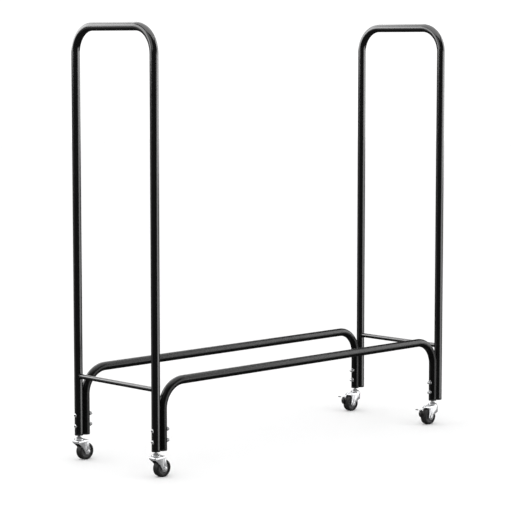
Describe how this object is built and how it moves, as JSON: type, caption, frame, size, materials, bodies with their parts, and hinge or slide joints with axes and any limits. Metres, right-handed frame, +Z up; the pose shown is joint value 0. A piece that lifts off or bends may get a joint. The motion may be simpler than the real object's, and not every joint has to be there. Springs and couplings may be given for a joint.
{
  "type": "fireside log cart",
  "caption": "Tube-framed firewood cart: tall end hoops joined by low bent rails, on small swivel casters, with foot brakes at one end.",
  "frame": {"origin": "on the floor under the middle of the cart, at the bottom centre of its box", "axes": "+X along the cart from the hoop without brakes to the hoop with brakes, +Y from front to rear, +Z up"},
  "size_m": [1.2442, 0.379, 1.277],
  "materials": {
    "black_paint": "gloss black powder coat",
    "black_plastic": "moulded, satin",
    "dark_rubber": "smooth dark grey tread",
    "grey_plastic": "moulded, fine grain",
    "bright_zinc": "bright zinc plate"
  },
  "bodies": {
    "frame": {"left_hoop": "black_paint", "left_crossbar": "black_paint", "right_hoop": "black_paint", "right_crossbar": "black_paint", "front_rail": "black_paint", "rear_rail": "black_paint", "left_front_lower_bolt": "bright_zinc", "left_front_lower_cap_nut": "bright_zinc", "left_front_upper_bolt": "bright_zinc", "left_front_upper_cap_nut": "bright_zinc", "left_front_hoop_plug": "black_plastic", "left_front_rail_plug": "black_plastic", "left_front_stem": "bright_zinc", "left_front_swivel_cup": "bright_zinc", "left_rear_lower_bolt": "bright_zinc", "left_rear_lower_cap_nut": "bright_zinc", "left_rear_upper_bolt": "bright_zinc", "left_rear_upper_cap_nut": "bright_zinc", "left_rear_hoop_plug": "black_plastic", "left_rear_rail_plug": "black_plastic", "left_rear_stem": "bright_zinc", "left_rear_swivel_cup": "bright_zinc", "right_front_lower_bolt": "bright_zinc", "right_front_lower_cap_nut": "bright_zinc", "right_front_upper_bolt": "bright_zinc", "right_front_upper_cap_nut": "bright_zinc", "right_front_hoop_plug": "black_plastic", "right_front_rail_plug": "black_plastic", "right_front_stem": "bright_zinc", "right_front_swivel_cup": "bright_zinc", "right_rear_lower_bolt": "bright_zinc", "right_rear_lower_cap_nut": "bright_zinc", "right_rear_upper_bolt": "bright_zinc", "right_rear_upper_cap_nut": "bright_zinc", "right_rear_hoop_plug": "black_plastic", "right_rear_rail_plug": "black_plastic", "right_rear_stem": "bright_zinc", "right_rear_swivel_cup": "bright_zinc"},
    "left_front_fork": {"left_front_yoke": "bright_zinc", "left_front_axle": "bright_zinc"},
    "left_front_wheel": {"left_front_tyre": "dark_rubber", "left_front_wheel_hub": "grey_plastic"},
    "left_rear_fork": {"left_rear_yoke": "bright_zinc", "left_rear_axle": "bright_zinc"},
    "left_rear_wheel": {"left_rear_tyre": "dark_rubber", "left_rear_wheel_hub": "grey_plastic"},
    "right_front_fork": {"right_front_yoke": "bright_zinc", "right_front_axle": "bright_zinc"},
    "right_front_wheel": {"right_front_tyre": "dark_rubber", "right_front_wheel_hub": "grey_plastic"},
    "right_front_brake": {"right_front_brake_lever": "bright_zinc", "right_front_brake_sleeve": "black_plastic", "right_front_brake_shoe": "black_plastic"},
    "right_rear_fork": {"right_rear_yoke": "bright_zinc", "right_rear_axle": "bright_zinc"},
    "right_rear_wheel": {"right_rear_tyre": "dark_rubber", "right_rear_wheel_hub": "grey_plastic"},
    "right_rear_brake": {"right_rear_brake_lever": "bright_zinc", "right_rear_brake_sleeve": "black_plastic", "right_rear_brake_shoe": "black_plastic"}
  },
  "joints": [
    {"name": "left_front_swivel", "type": "hinge", "parent": "frame", "child": "left_front_fork", "pos_m": [-0.606, -0.17, 0.06], "axis": [0, 0, 1], "continuous": true},
    {"name": "left_front_wheel_spin", "type": "hinge", "parent": "left_front_fork", "child": "left_front_wheel", "pos_m": [-0.5845, -0.17, 0.025], "axis": [0, 1, 0], "continuous": true},
    {"name": "left_rear_swivel", "type": "hinge", "parent": "frame", "child": "left_rear_fork", "pos_m": [-0.606, 0.17, 0.06], "axis": [0, 0, 1], "continuous": true},
    {"name": "left_rear_wheel_spin", "type": "hinge", "parent": "left_rear_fork", "child": "left_rear_wheel", "pos_m": [-0.5845, 0.17, 0.025], "axis": [0, 1, 0], "continuous": true},
    {"name": "right_front_swivel", "type": "hinge", "parent": "frame", "child": "right_front_fork", "pos_m": [0.5807, -0.17, 0.06], "axis": [0, 0, 1], "continuous": true},
    {"name": "right_front_wheel_spin", "type": "hinge", "parent": "right_front_fork", "child": "right_front_wheel", "pos_m": [0.5592, -0.17, 0.025], "axis": [0, 1, 0], "continuous": true},
    {"name": "right_front_brake_pedal", "type": "hinge", "parent": "right_front_fork", "child": "right_front_brake", "pos_m": [0.5522, -0.17, 0.0538], "axis": [0, 1, 0], "range_deg": [0, 15]},
    {"name": "right_rear_swivel", "type": "hinge", "parent": "frame", "child": "right_rear_fork", "pos_m": [0.5807, 0.17, 0.06], "axis": [0, 0, 1], "continuous": true},
    {"name": "right_rear_wheel_spin", "type": "hinge", "parent": "right_rear_fork", "child": "right_rear_wheel", "pos_m": [0.5592, 0.17, 0.025], "axis": [0, 1, 0], "continuous": true},
    {"name": "right_rear_brake_pedal", "type": "hinge", "parent": "right_rear_fork", "child": "right_rear_brake", "pos_m": [0.5522, 0.17, 0.0538], "axis": [0, 1, 0], "range_deg": [0, 15]}
  ]
}
